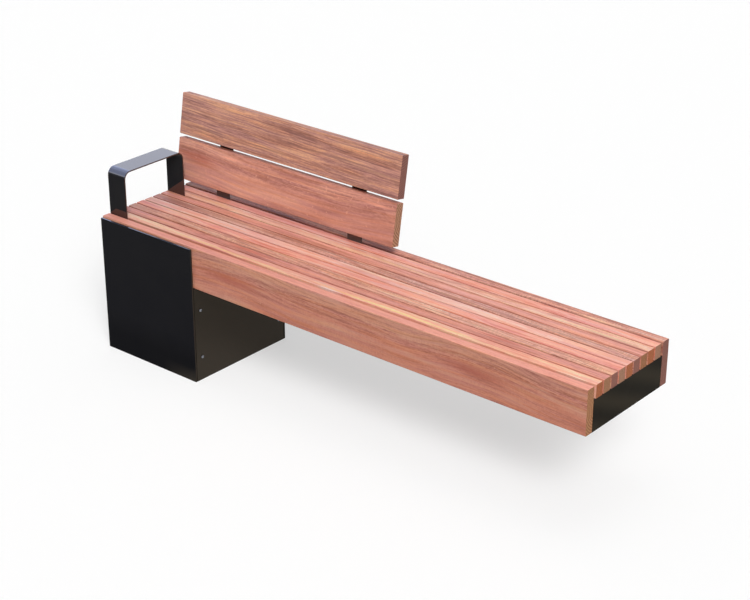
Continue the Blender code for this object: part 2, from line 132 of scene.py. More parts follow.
def meshOf(name, shape, crease):
    # Turns a finished shape into a mesh, smooth but for its creases.
    bmesh.ops.recalc_face_normals(shape, faces=shape.faces)
    mesh = bpy.data.meshes.new(name)
    shape.to_mesh(mesh)
    shape.free()
    mesh.shade_smooth()
    mesh.set_sharp_from_angle(angle=math.radians(crease))
    return mesh


def addPiece(mesh, materials, replaced=None, location=(0, 0, 0), rotation=(0, 0, 0)):
    # A new visible piece that rides on the seat, and the CAD node that it stands for.
    piece = bpy.data.objects.new(mesh.name, mesh)
    piece.location = location
    piece.rotation_euler = rotation
    mesh.materials.clear()
    for material in materials:
        mesh.materials.append(material)
    scene.collection.objects.link(piece)
    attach(piece, "root")
    # large flat faces keep their own normals, so that gloss doesn't bend over them
    even = piece.modifiers.new("even_normals", "WEIGHTED_NORMAL")
    even.keep_sharp = True
    if replaced:
        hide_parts(replaced)


# Camera, at the photo's place: about 5.7 m away, 25 degrees down and 40 degrees to the right

camera = {
    "place": (3.7262, -3.5515, 2.5365),
    "tilt": 0.4366,             # radians down
    "turn": 0.6981,             # radians to the left of +Y
    "focalPixels": 1767.74,     # focal length in pixels of the 750 px wide frame
    "frameWidth": 750,
    "sensor": 36.0,
}


def addCamera():
    lens = bpy.data.cameras.new("camera")
    lens.sensor_width = camera["sensor"]
    lens.lens = camera["focalPixels"] * camera["sensor"] / camera["frameWidth"]
    holder = bpy.data.objects.new("camera", lens)
    holder.location = camera["place"]
    holder.rotation_euler = (math.pi / 2 - camera["tilt"], 0, camera["turn"])
    scene.collection.objects.link(holder)
    scene.camera = holder


# Studio: a soft key light from the front right, even light all round, and a pale floor

studio = {
    "allRound": 0.22,           # even part of the sky
    "overhead": 1.25,           # broad light straight above
    "overheadSize": 20.0,
    "key": 30.5,                # peak of the soft key light
    "keySize": 60.0,            # a higher power is a smaller light
    "keyAngle": -41.0,          # degrees from +X, so from the front right
    "keyHeight": 40.0,          # degrees above the floor
    "floorWhite": 0.52,         # share of the floor's white that shadows can take away
    "floorLevel": 1.012,        # open floor as the camera sees it, just white
    "floorSize": 80.0,
    "floorDrop": 0.3 * mm,
}


def seenDirectly(tree):
    # 1 where the camera, a reflection or a clear piece looks, 0 where light is gathered.
    path = addNode(tree, "LightPath").outputs
    seen = calculate(tree, "ADD", path["Is Camera Ray"], path["Is Glossy Ray"])
    return calculate(tree, "ADD", seen, path["Is Transmission Ray"], use_clamp=True)


def addSky():
    world = bpy.data.worlds.new("studio")
    scene.world = world
    world.use_nodes = True
    tree = world.node_tree
    tree.nodes.clear()
    angle, height = math.radians(studio["keyAngle"]), math.radians(studio["keyHeight"])
    towards = (math.cos(height) * math.cos(angle), math.cos(height) * math.sin(angle), math.sin(height))
    ray = addNode(tree, "TexCoord").outputs["Generated"]
    facing = addNode(tree, "VectorMath", {0: ray, 1: towards}, operation="DOT_PRODUCT").outputs["Value"]
    key = calculate(tree, "POWER", calculate(tree, "MAXIMUM", facing, 0.0), studio["keySize"])
    up = calculate(tree, "MAXIMUM", axisOf(tree, ray, "Z"), 0.0)
    above = calculate(tree, "POWER", up, studio["overheadSize"])
    strength = calculate(tree, "MULTIPLY_ADD", above, studio["overhead"], studio["allRound"])
    strength = calculate(tree, "MULTIPLY_ADD", key, studio["key"], strength)
    light = addNode(tree, "Background", {"Color": (1, 1, 1, 1), "Strength": strength})
    white = addNode(tree, "Background", {"Color": (1, 1, 1, 1), "Strength": 1.0})
    mix = addNode(tree, "MixShader", {0: seenDirectly(tree), 1: light.outputs[0], 2: white.outputs[0]})
    addNode(tree, "OutputWorld", {"Surface": mix.outputs[0]})


def addFloor():
    half = studio["floorSize"] / 2
    mesh = bpy.data.meshes.new("floor")
    mesh.from_pydata([(-half, -half, 0), (half, -half, 0), (half, half, 0), (-half, half, 0)], [],
                     [(0, 1, 2, 3)])
    floor = bpy.data.objects.new("floor", mesh)
    floor.location.z = -studio["floorDrop"]
    # the eye sees plain white that only the seat's shadow darkens
    material, tree, shader = newMaterial("matt_white_studio_floor")
    tree.nodes.remove(shader)
    white = studio["floorWhite"]
    rest = studio["floorLevel"] - white
    matt = addNode(tree, "BsdfDiffuse", {"Color": (white, white, white, 1)})
    glow = addNode(tree, "Emission", {"Color": (rest, rest, rest, 1), "Strength": seenDirectly(tree)})
    both = addNode(tree, "AddShader", {0: matt.outputs[0], 1: glow.outputs[0]})
    tree.links.new(both.outputs[0], tree.nodes["Material Output"].inputs["Surface"])
    mesh.materials.append(material)
    scene.collection.objects.link(floor)


softboxes = {
    # from, to: degrees from straight up, towards the rear; wide: metres; glow: its radiance
    "rear_softbox": {"from": 56, "to": 76, "wide": 5.0, "glow": 1.60, "colour": "#DBE1FF"},
    "upper_softbox": {"from": 0, "to": 55, "wide": 6.0, "glow": 3.2, "colour": "#B7C7FF"},
    "front_softbox": {"from": -60, "to": 0, "wide": 6.0, "glow": 3.1, "colour": "#B7C7FF"},
    "low_softbox": {"from": -92, "to": -60, "wide": 6.0, "glow": 3.5, "colour": "#E1E7FF"},
}
softboxArch = {"middle": (-0.1, 0.0, 0.5), "leftward": 0.704, "away": 10.0}


def addSoftboxes():
    # An arch of light panels on the left, which only gloss shows: the coated steel mirrors it.
    left = softboxArch["leftward"]
    rise = math.sqrt(1 - left ** 2)
    for name, box in softboxes.items():
        turn = math.radians((box["from"] + box["to"]) / 2)
        out = Vector((-left, rise * math.sin(turn), rise * math.cos(turn)))
        along = Vector((0, math.cos(turn), -math.sin(turn)))
        lamp = bpy.data.lights.new(name, "AREA")
        lamp.shape = "RECTANGLE"
        lamp.size = box["wide"]
        lamp.size_y = 2 * rise * softboxArch["away"] * math.tan(math.radians((box["to"] - box["from"]) / 2))
        lamp.energy = box["glow"] * math.pi * lamp.size * lamp.size_y
        lamp.color = hexColour(box["colour"])[:3]
        holder = bpy.data.objects.new(name, lamp)
        holder.location = Vector(softboxArch["middle"]) + out * softboxArch["away"]
        holder.rotation_euler = Matrix((along.cross(out), along, out)).transposed().to_euler()
        holder.visible_camera = False
        holder.visible_diffuse = False
        scene.collection.objects.link(holder)


# Hardwood: a red eucalypt kind, planed and oiled. Long streaks along the grain, satin, open pores

wood = {
    "seedStep": 3.7,            # sets the patterns of two boards apart
    "shiftShares": (1.0, 0.37, 0.61),   # how much of a shift goes along the board, across it and up
    "wanderSize": (0.26, 0.05, 0.05),   # metres along the board, across it and up
    "wanderDetail": 1.5,
    "toneReach": 0.14,          # from the summed noises' middle to the darkest or lightest tone
    "plainShare": 0.38,         # what is left of the figure where a flat-sawn board is plain
    "markEdge": 0.9,            # a mark has its full strength in the innermost tenth of its reach
    "raggedRange": (0.30, 0.62),
    "raggedLeast": 0.4,         # what the fine streaks leave of a mark at least
    "wobbleLength": 18,         # how much longer than wide the wobbles of a growth ring are
    "ringUnit": 0.314,          # scale at which the wave texture's rings are a metre apart
    "ringWobble": {"Distortion": 2.6, "Detail": 3.0, "Detail Scale": 1.4, "Detail Roughness": 0.6},
    "lineRange": (0.45, 1.0),
    "endRings": 0.35,           # strength of the arcs on the cut ends
    "endRange": (0.42, 0.92),
    "endFacing": (0.55, 0.80),  # how squarely a face looks along the board to count as cut end
    "topFacing": (0.70, 0.90),  # the same for a fascia's upper edge
    "leftShadeFacing": (0.50, 0.90),
    "leftShadePlaces": (-0.90, 0.90),
    "wallFacing": (0.45, 0.85),
    "wallPlaces": (-0.75, -0.15),
    "shadedWall": "#B9ABA2",    # gap walls at the left, where armrest and backrest keep light out
    "shadedEnd": "#E3E1E0",     # painted shade: what the left end keeps of its tone beside the lighter right
    "poreStrength": 0.4,
    "roughness": 0.55,
    "specular": 0.12,
    "relief": 0.5 * mm,
    "reliefStrength": 0.3,
}

woodNoises = {
    # size: metres along the board, across it and up; shift keeps the patterns apart; range: the part
    # of the noise's values that is used
    "broad": {"size": (0.30, 0.008, 0.008), "shift": 1.3, "detail": 2.0, "roughness": 0.55},
    "fine": {"size": (0.06, 0.0022, 0.0022), "shift": 2.1, "detail": 2.0, "roughness": 0.6},
    "speckle": {"size": (0.013, 0.0045, 0.0045), "shift": 11.0},
    "drift": {"size": (0.30, 0.022, 0.030), "shift": 10.0, "detail": 1.5},
    "linePlaces": {"size": (0.22, 0.02, 0.02), "shift": 5.0, "range": (0.38, 0.60)},
    "hue": {"size": (0.24, 0.011, 0.011), "shift": 13.0, "detail": 1.5, "range": (0.36, 0.64)},
    "ripple": {"size": (0.0042, 0.012, 0.012), "shift": 6.0, "range": (0.40, 0.60)},
    "ripplePlaces": {"size": (0.12, 0.010, 0.010), "shift": 7.0, "range": (0.42, 0.60)},
    "pores": {"size": (0.014, 0.0009, 0.0009), "shift": 8.0, "range": (0.58, 0.74)},
    "flecks": {"size": (0.010, 0.004, 0.012), "shift": 12.0, "slope": 0.5, "range": (0.69, 0.76)},
    "endSpecks": {"size": (0.0015, 0.0015, 0.0015), "shift": 0.0, "detail": 2.0},
}


def woodNoise(tree, name, place, shift, top=1.0):
    # One of the noises above, stretched to 0..top where it has a range.
    made = {"slope": 0.0, "detail": 1.0, "roughness": 0.5} | woodNoises[name]
    move = [(shift + made["shift"]) * share for share in wood["shiftShares"]]
    spot = addNode(tree, "Mapping", {"Vector": place, "Location": move, "Rotation": (0, made["slope"], 0),
                                     "Scale": made["size"]}, vector_type="TEXTURE").outputs[0]
    value = addNode(tree, "TexNoise", {"Vector": spot, "Scale": 1.0, "Detail": made["detail"],
                                       "Roughness": made["roughness"]}).outputs["Fac"]
    return spread(tree, value, *made["range"], top) if "range" in made else value


def grainPlace(tree, place, look, standing, shift):
    # Where the grain lies: it wanders a few millimetres, slopes, and arches where it was cut flat.
    slow = addNode(tree, "Mapping", {"Vector": place, "Location": (shift, 0, 0),
                                     "Scale": wood["wanderSize"]}, vector_type="TEXTURE").outputs[0]
    slow = addNode(tree, "TexNoise", {"Vector": slow, "Scale": 1.0,
                                      "Detail": wood["wanderDetail"]}).outputs["Color"]
    warp = calculate(tree, "SUBTRACT", slow, (0.5, 0.5, 0.5), kind="VectorMath")
    wander = (0, look["wander"], look["wander"])
    grain = calculate(tree, "MULTIPLY_ADD", warp, wander, place, kind="VectorMath")
    along = axisOf(tree, place, "X")
    for middle, reach, rise in look["arches"]:
        away = calculate(tree, "ABSOLUTE", calculate(tree, "SUBTRACT", along, middle))
        arch = addNode(tree, "MapRange", {"Value": away, "From Max": reach, "To Min": rise, "To Max": 0.0},
                       interpolation_type="SMOOTHERSTEP").outputs["Result"]
        arch = addNode(tree, "CombineXYZ", {"Z" if standing else "Y": arch}).outputs[0]
        grain = calculate(tree, "SUBTRACT", grain, arch, kind="VectorMath")
    turn = (0, look["slope"], 0) if standing else (0, 0, look["slope"])
    return addNode(tree, "Mapping", {"Vector": grain, "Rotation": turn}).outputs[0]


def woodTone(tree, place, grain, fine, look, lively, shift):
    # 0 is the board's dark tone and 1 its light one: streaks of 8 mm and of 2.2 mm along the grain
    # and short speckles that break them.
    streak = calculate(tree, "MULTIPLY", woodNoise(tree, "broad", grain, shift), look["broad"])
    streak = calculate(tree, "MULTIPLY_ADD", fine, look["fine"], streak)
    speckle = woodNoise(tree, "speckle", place, shift)
    streak = calculate(tree, "MULTIPLY_ADD", speckle, look["speckle"], streak)
    middle = (look["broad"] + look["fine"] + look["speckle"]) / 2
    tone = spread(tree, streak, middle - wood["toneReach"], middle + wood["toneReach"])
    if lively is not None:
        tone = calculate(tree, "SUBTRACT", tone, 0.5)
        tone = calculate(tree, "MULTIPLY_ADD", tone, lively, 0.5)
    # slow drift over a third of a metre
    drift = calculate(tree, "SUBTRACT", woodNoise(tree, "drift", place, shift), 0.5)
    return calculate(tree, "MULTIPLY_ADD", drift, look["drift"], tone)


def addMarks(tree, colour, place, fine, look, standing):
    # Soft patches of another tone, longer than wide, broken up by the fine streaks.
    ragged = spread(tree, fine, *wood["raggedRange"])
    ragged = calculate(tree, "MULTIPLY_ADD", ragged, 1 - wood["raggedLeast"], wood["raggedLeast"])
    for along, across, reach, half, shade, strength in look["marks"]:
        middle = (along, 0, across) if standing else (along, across, 0)
        size = (reach, 1.0, half) if standing else (reach, half, 1.0)
        spot = addNode(tree, "Mapping", {"Vector": place, "Location": middle, "Scale": size},
                       vector_type="TEXTURE").outputs[0]
        soft = addNode(tree, "TexGradient", {0: spot}, gradient_type="SPHERICAL").outputs["Fac"]
        soft = addNode(tree, "MapRange", {"Value": soft, "From Max": wood["markEdge"], "To Max": strength},
                       interpolation_type="SMOOTHSTEP").outputs["Result"]
        colour = mixColour(tree, calculate(tree, "MULTIPLY", soft, ragged), colour, shade)
    return colour


def growthRings(tree, grain, look, shift):
    # Rings round a heart that lies outside the board: lines on the faces, arcs on the ends.
    spot = addNode(tree, "Mapping", {"Vector": grain, "Location": (shift, *look["heart"]),
                                     "Scale": (wood["wobbleLength"], 1, 1)},
                   vector_type="TEXTURE").outputs[0]
    return addNode(tree, "TexWave", {"Vector": spot, "Scale": wood["ringUnit"] / look["ringGap"],
                                     **wood["ringWobble"]},
                   wave_type="RINGS", rings_direction="X", wave_profile="SIN").outputs["Fac"]


def endGrain(tree, colour, normal, rings, place, look, shift):
    # Cut fibres drink more oil, so the ends are browner, with arcs instead of streaks.
    specks = woodNoise(tree, "endSpecks", place, shift)
    cut = calculate(tree, "MULTIPLY_ADD", rings, wood["endRings"], specks)
    endColour = addRamp(tree, spread(tree, cut, *wood["endRange"]),
                        [(0.0, look["end"]), (1.0, look["endDark"])])
    facing = calculate(tree, "ABSOLUTE", axisOf(tree, normal, "X"))
    return mixColour(tree, spread(tree, facing, *wood["endFacing"]), colour, endColour)


def plainTopShadedFace(tree, colour, normal, look):
    # The upper edge is plainer in grain, and the front face is darkened: painted shade, as it gets less
    # light than the upper edge.
    up = axisOf(tree, normal, "Z")
    colour = mixColour(tree, spread(tree, up, *wood["topFacing"], look["plainTop"]), colour, look["middle"])
    darker = mixColour(tree, 1.0, colour, look["paintedFaceShade"], "MULTIPLY")
    return mixColour(tree, spread(tree, up, *wood["topFacing"]), darker, colour)


def paintedLeftShade(tree, colour, place, normal):
    # Painted shade: upward faces darken towards the base's end and keep their colour at the seat's open
    # end.
    along = spread(tree, axisOf(tree, place, "X"), *wood["leftShadePlaces"])
    tone = addRamp(tree, along, [(0.0, wood["shadedEnd"]), (1.0, "#FFFFFF")])
    facing = spread(tree, axisOf(tree, normal, "Z"), *wood["leftShadeFacing"])
    return mixColour(tree, facing, colour, tone, "MULTIPLY")


def paintedGapShade(tree, colour, place, normal, look, standing):
    # Painted shade on the walls of the gaps, so that the gaps read dark. The painted shade is
    # deeper at the left, where the backrest and the armrest keep light out of them.
    side = axisOf(tree, normal, "Y")
    if standing:
        side = calculate(tree, "MULTIPLY", side, -1.0)
    else:
        side = calculate(tree, "ABSOLUTE", side)
    lit = spread(tree, axisOf(tree, place, "X"), *wood["wallPlaces"])
    tone = mixColour(tree, lit, wood["shadedWall"], look["gapShadeTone"])
    shadedWalls = mixColour(tree, 1.0, colour, tone, "MULTIPLY")
    return mixColour(tree, spread(tree, side, *wood["wallFacing"]), colour, shadedWalls)


def hardwood(name, look, seed):
    # look gives the board's own tones; seed moves its pattern so that no two boards are alike.
    material, tree, shader = newMaterial("oiled_red_hardwood_" + name)
    coordinates = addNode(tree, "TexCoord").outputs
    place, normal = coordinates["Object"], coordinates["Normal"]
    standing = not name.startswith("slat")
    shift = seed * wood["seedStep"]
    grain = grainPlace(tree, place, look, standing, shift)
    fine = woodNoise(tree, "fine", grain, shift)
    lively = None
    if "plainBelow" in look:
        # a flat-sawn board is plain near the rings' heart line and lively above it
        low, high = look["plainBelow"]
        lively = addNode(tree, "MapRange", {"Value": axisOf(tree, place, "Z"), "From Min": low,
                                            "From Max": high, "To Min": wood["plainShare"]},
                         interpolation_type="SMOOTHSTEP").outputs[0]
    tone = woodTone(tree, place, grain, fine, look, lively, shift)
    colour = addRamp(tree, tone, [(0.0, look["dark"]), (0.5, look["middle"]), (1.0, look["light"])])
    colour = addMarks(tree, colour, place, fine, look, standing)
    rings = growthRings(tree, grain, look, shift)
    lines = spread(tree, rings, *wood["lineRange"], look["figure"])
    lines = calculate(tree, "MULTIPLY", lines, woodNoise(tree, "linePlaces", grain, shift))
    if lively is not None:
        lines = calculate(tree, "MULTIPLY", lines, lively)
    colour = mixColour(tree, lines, colour, look.get("line", look["dark"]))
    # bands of cooler and warmer wood
    tint = addRamp(tree, woodNoise(tree, "hue", grain, shift),
                   [(0.0, "#F7F5FF"), (0.5, "#FFFFFF"), (1.0, "#FFF7EB")])
    colour = mixColour(tree, 1.0, colour, tint, "MULTIPLY")
    # cross ripple: fine bands across the grain, about 4 mm apart
    where = woodNoise(tree, "ripplePlaces", place, shift, look["ripple"])
    ripple = calculate(tree, "MULTIPLY", woodNoise(tree, "ripple", place, shift), where)
    colour = mixColour(tree, ripple, colour, look["dark"])
    # open pores: dark dashes 14 mm long, drawn 0.9 mm wide because the real 0.3 mm would not show
    pores = woodNoise(tree, "pores", grain, shift, wood["poreStrength"])
    colour = mixColour(tree, pores, colour, look["dark"])
    # pale flecks, short and nearly across the grain
    flecks = woodNoise(tree, "flecks", place, shift, look["flecks"])
    colour = mixColour(tree, flecks, colour, look["light"])
    colour = endGrain(tree, colour, normal, rings, place, look, shift)
    # painted shade on the front face
    if "paintedFaceShade" in look:
        colour = plainTopShadedFace(tree, colour, normal, look)
    # painted shade towards the left end of the upper faces
    if "plank" not in name:
        colour = paintedLeftShade(tree, colour, place, normal)
    # painted shade in the gaps between the boards
    if name.startswith("slat") or name == "rear_fascia":
        colour = paintedGapShade(tree, colour, place, normal, look, standing)
    tree.links.new(colour, shader.inputs["Base Color"])
    shader.inputs["Roughness"].default_value = wood["roughness"]
    shader.inputs["Specular IOR Level"].default_value = wood["specular"]
    bump = addNode(tree, "Bump", {"Strength": wood["reliefStrength"], "Distance": wood["relief"],
                                  "Height": calculate(tree, "SUBTRACT", fine, pores)})
    tree.links.new(bump.outputs[0], shader.inputs["Normal"])
    return material


# What a board has where its own look below says nothing else. broad, fine and speckle are shares of
# its tone, figure, ripple and flecks are strengths, and heart is where its rings' middle lies.
usualLook = {
    "broad": 0.58, "fine": 0.42, "speckle": 0.12, "drift": 1.6, "wander": 22 * mm, "slope": 0.0,
    "figure": 0.35, "ringGap": 7 * mm, "heart": (0.09, -0.05), "ripple": 0.15, "flecks": 0.0,
    "gapShadeTone": "#E2D7D0", "arches": [], "marks": [],
}

# Places in a board's own frame: metres from its middle, along it, then up a standing board or
# back across a slat. A mark is (along, across, half length, half width, colour, strength), and an
# arch of the grain is (along, half length, rise).
boardLooks = {
    "front_fascia": {
        "dark": "#BC7469", "middle": "#F6A794", "light": "#FEC1AA", "line": "#A76656", "end": "#DDA37A",
        "endDark": "#976546", "paintedFaceShade": "#D1CDC3", "plainTop": 0.6, "broad": 0.44, "fine": 0.56,
        "speckle": 0.24, "drift": 1.3, "wander": 9 * mm, "figure": 0.28, "heart": (0.05, 0.004),
        "plainBelow": (-0.02, 0.035), "flecks": 0.5,
        "arches": [(-0.35, 0.32, 19 * mm), (0.554, 0.32, 19 * mm)],
        "marks": [
            (0.0, 0.052, 1.8, 0.034, "#FEC1AA", 0.7), (-0.35, 0.006, 0.18, 0.025, "#CD6651", 0.7),
            (0.554, 0.006, 0.18, 0.025, "#CD6651", 0.7), (-0.20, 0.027, 0.07, 0.007, "#FEC1AA", 0.8),
            (0.31, 0.029, 0.07, 0.007, "#FEC1AA", 0.8), (0.73, 0.020, 0.09, 0.008, "#FEC1AA", 0.7),
            (0.10, -0.045, 0.45, 0.020, "#F3A287", 0.5),
        ],
    },
    "slat_1": {
        "dark": "#EF9F8C", "middle": "#FFBDA4", "light": "#FFE0B9", "end": "#AE6841",
        "endDark": "#864A2F", "gapShadeTone": "#EFE8E3", "fine": 0.60,
        "marks": [
            (0.30, -0.007, 0.50, 0.0065, "#FFE89D", 0.95), (-0.43, -0.006, 0.36, 0.0065, "#FFDD9B", 0.9),
            # the two near-white marks along the front edge are painted highlights
            (0.0, -0.013, 0.07, 0.004, "#FFFFF6", 0.8), (0.84, -0.013, 0.10, 0.004, "#FFFFF6", 0.8),
            (-0.2, 0.009, 0.5, 0.007, "#EAAAA3", 0.6), (0.55, 0.008, 0.3, 0.006, "#E5A6A1", 0.6),
        ],
    },
    "slat_2": {
        "dark": "#C27F6E", "middle": "#E69D8D", "light": "#F6B09C", "end": "#A77859",
        "endDark": "#855C3F", "fine": 0.58, "drift": 1.0,
        "marks": [
            (-0.36, 0.005, 0.12, 0.009, "#D6745D", 0.75), (0.56, 0.006, 0.10, 0.009, "#CE6F59", 0.75),
            (0.05, -0.004, 0.30, 0.008, "#F9BA9F", 0.5), (-0.7, -0.006, 0.2, 0.007, "#F1B792", 0.6),
        ],
    },
    "slat_3": {
        "dark": "#B47766", "middle": "#F6B59E", "light": "#FADABA", "end": "#946154",
        "endDark": "#734A40", "broad": 0.34, "drift": 0.9, "slope": 0.055, "figure": 0.4,
        "ringGap": 6 * mm, "ripple": 0.4,
        "marks": [
            (-0.86, 0.0, 0.12, 0.016, "#B1806E", 0.7), (-0.1, 0.006, 0.30, 0.004, "#9E6855", 0.7),
            (0.35, -0.004, 0.30, 0.004, "#9E6855", 0.7), (0.72, 0.003, 0.15, 0.004, "#B47665", 0.6),
            (-0.55, -0.004, 0.25, 0.008, "#FAD9B4", 0.6),
        ],
    },
    "slat_4": {
        "dark": "#EC9180", "middle": "#FFB4A0", "light": "#FFCFBA", "end": "#A97D64",
        "endDark": "#87614C", "drift": 1.4,
        "arches": [(-0.356, 0.16, -9 * mm), (0.554, 0.16, -9 * mm)],
        "marks": [
            (0.72, 0.0, 0.25, 0.014, "#FFCFBA", 0.6), (0.0, 0.0, 0.14, 0.016, "#EC9180", 0.7),
            (-0.85, 0.0, 0.10, 0.016, "#E69B93", 0.6), (-0.356, -0.004, 0.11, 0.008, "#D77768", 0.7),
            (0.554, -0.004, 0.11, 0.008, "#D77768", 0.7), (-0.12, -0.009, 0.12, 0.006, "#FFD2B0", 0.8),
            (0.30, -0.009, 0.12, 0.006, "#FFD2B0", 0.8), (0.10, 0.005, 0.18, 0.009, "#F3988F", 0.5),
        ],
    },
    "slat_5": {
        "dark": "#F5AA97", "middle": "#FFC2AF", "light": "#FFDDCC", "end": "#B06944",
        "endDark": "#8A4E2F", "fine": 0.58,
        "marks": [
            (-0.88, 0.0, 0.06, 0.016, "#DBA895", 0.6), (-0.02, 0.0, 0.10, 0.016, "#D49281", 0.6),
            (0.86, 0.0, 0.08, 0.016, "#E2A38F", 0.5), (0.40, -0.003, 0.25, 0.010, "#FFE6D4", 0.6),
        ],
    },
    "slat_6": {
        "dark": "#A57163", "middle": "#E6A693", "light": "#FCD2C1", "end": "#936254",
        "endDark": "#72493F", "broad": 0.30, "drift": 1.2, "slope": 0.04, "figure": 0.4,
        "ringGap": 6 * mm, "ripple": 0.5,
        "marks": [
            (0.66, 0.0, 0.30, 0.012, "#FCD2C1", 0.5), (-0.62, 0.0, 0.34, 0.018, "#A57163", 0.5),
            (-0.83, 0.0, 0.24, 0.016, "#AA7562", 0.8), (-0.15, 0.006, 0.32, 0.005, "#946354", 0.7),
            (0.35, -0.004, 0.40, 0.005, "#9C6C56", 0.7), (-0.45, -0.006, 0.15, 0.006, "#FCCAAD", 0.6),
        ],
    },
    "slat_7": {
        "dark": "#CA876F", "middle": "#EEA593", "light": "#FDBAA6", "end": "#A16F4C",
        "endDark": "#7D4F32", "drift": 0.9, "figure": 0.2, "flecks": 0.6,
        "marks": [
            (-0.5, 0.003, 0.3, 0.008, "#DF9475", 0.35), (0.5, 0.0, 0.35, 0.009, "#FABAA7", 0.3),
        ],
    },
    "slat_8": {
        "dark": "#D99B89", "middle": "#FEBDA7", "light": "#FFDCC0", "end": "#B06843",
        "endDark": "#8A4E2F", "fine": 0.62, "drift": 1.7, "ripple": 0.4,
        "marks": [
            (-0.33, 0.0, 0.26, 0.016, "#D99B89", 0.6), (-0.05, -0.007, 0.45, 0.007, "#FFD99E", 0.6),
            (0.75, -0.006, 0.25, 0.007, "#FFEEB4", 0.7), (-0.72, 0.0, 0.15, 0.012, "#EDB484", 0.6),
        ],
    },
    "slat_9": {
        "dark": "#E58B78", "middle": "#FFB4A3", "light": "#FFC9B5", "end": "#AA7B62",
        "endDark": "#825F4A", "fine": 0.58,
        "marks": [
            # the first, dark mark is painted shadow of the backrest over the left half
            (-0.50, 0.0, 0.42, 0.020, "#E58B78", 0.5), (0.45, 0.0, 0.2, 0.010, "#F6A393", 0.5),
            (0.80, -0.004, 0.15, 0.008, "#FFD5C0", 0.6),
        ],
    },
    "rear_fascia": {
        "dark": "#A76E62", "middle": "#F2AB94", "light": "#FCD2B6", "line": "#986462", "end": "#8E5D50",
        "endDark": "#69443D", "gapShadeTone": "#D9CEC7", "broad": 0.40, "drift": 2.4, "slope": 0.02,
        "figure": 0.5, "ripple": 0.5,
    },
    "lower_backrest_plank": {
        "dark": "#AB705F", "middle": "#CB8D7C", "light": "#E0A48A", "line": "#975F51", "end": "#BE9073",
        "endDark": "#75523F", "speckle": 0.24, "wander": 9 * mm, "figure": 0.5, "ringGap": 8 * mm,
        "heart": (0.05, 0.004), "plainBelow": (-0.02, 0.035), "flecks": 0.5,
        "arches": [(-0.40, 0.32, 19 * mm), (0.50, 0.32, 19 * mm)],
        "marks": [
            (-0.37, 0.014, 0.15, 0.032, "#B15A44", 0.75), (-0.22, 0.046, 0.07, 0.007, "#F7AE8D", 0.8),
            (0.37, 0.046, 0.11, 0.007, "#F6AD8D", 0.8), (0.05, 0.050, 0.16, 0.010, "#B87866", 0.6),
            (0.30, -0.010, 0.20, 0.012, "#C07D6B", 0.4),
        ],
    },
    "upper_backrest_plank": {
        "dark": "#92655B", "middle": "#C08B7A", "light": "#E2AB86", "line": "#735049", "end": "#96675C",
        "endDark": "#63443F", "broad": 0.50, "fine": 0.50, "drift": 1.1, "wander": 13 * mm,
        "slope": -0.028, "figure": 0.45, "heart": (0.10, -0.20),
        "marks": [
            (0.16, 0.003, 0.30, 0.006, "#705050", 0.6), (0.36, -0.006, 0.14, 0.007, "#705050", 0.55),
            (-0.34, -0.032, 0.13, 0.007, "#735354", 0.55), (-0.05, -0.034, 0.16, 0.006, "#825D56", 0.5),
            (0.30, 0.040, 0.18, 0.007, "#F1AC80", 0.55), (-0.33, -0.003, 0.14, 0.006, "#E7A67E", 0.55),
            (-0.33, -0.052, 0.14, 0.007, "#E7A67E", 0.6),
        ],
    },
}

# Boards: each is a new mesh in its own frame, with soft long edges and crisp cut ends
board = {
    "rounding": {"fascia": 3.5 * mm, "slat": 1.3 * mm, "plank": 1.6 * mm},
    "endRounding": 0.8 * mm,
    "endStep": 0.3,             # the cut ends' rounding has one step, this share of it in from the end
    "leastRounding": 0.05 * mm,
    "arcSteps": 5,
    "stationGap": 45 * mm,
    "wander": 0.12 * mm,        # how far the planed faces wave, always inwards
    "waves": (6, 25, 25),       # waves to the metre along the board, across it and up
    "seedStep": 5,
    "plankThickness": 30 * mm,
    "plankHeight": 133.4 * mm,
    "lean": math.radians(9.7),
}


def roundedOutline(width, height, radius, inset):
    # Points round a rounded rectangle in the board's YZ plane, drawn in by an inset.
    half = Vector((width / 2 - radius, height / 2 - radius))
    reach = max(radius - inset, board["leastRounding"])
    points = []
    for quarter, (sideY, sideZ) in enumerate(((1, 1), (-1, 1), (-1, -1), (1, -1))):
        for step in range(board["arcSteps"] + 1):
            angle = (quarter + step / board["arcSteps"]) * math.pi / 2
            points.append((sideY * half.x + reach * math.cos(angle),
                           sideZ * half.y + reach * math.sin(angle)))
    return points


def boardMesh(name, size, radius, seed):
    length, width, height = size
    end, count = length / 2, max(2, round(length / board["stationGap"]))
    small, step = board["endRounding"], board["endRounding"] * board["endStep"]
    stations = [(-end, small), (-end + step, step)]
    stations += [(-end + small + (length - 2 * small) * i / count, 0.0) for i in range(count + 1)]
    stations += [(end - step, step), (end, small)]
    alongWaves, acrossWaves, upWaves = board["waves"]
    shape = bmesh.new()
    rings = []
    for x, inset in stations:
        ring = []
        for y, z in roundedOutline(width, height, radius, inset):
            spot = Vector((x * alongWaves, y * acrossWaves + seed * board["seedStep"], z * upWaves))
            wave = noise.noise(spot)
            draw = 1 - board["wander"] * (0.5 + 0.5 * wave) / (min(width, height) / 2)
            ring.append(shape.verts.new((x, y * draw, z * draw)))
        rings.append(ring)
    skinRings(shape, rings)
    return meshOf(name, shape, meshing["crease"])


def addBoards():
    for seed, (node, look) in enumerate(boardLooks.items(), 1):
        kind = next(kind for kind in board["rounding"] if kind in node)
        low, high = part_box(node)
        size = high - low
        rotation = (0, 0, 0)
        if kind == "plank":
            size = Vector((size.x, board["plankThickness"], board["plankHeight"]))
            rotation = (-board["lean"], 0, 0)
        mesh = boardMesh("timber_" + node, size, board["rounding"][kind], seed)
        material = hardwood(node, usualLook | look, seed)
        addPiece(mesh, [material], node, (low + high) / 2, rotation)
    print("boards:", len(boardLooks))


# Steel: flat bar, plate and hollow section, welded, then powder coated black

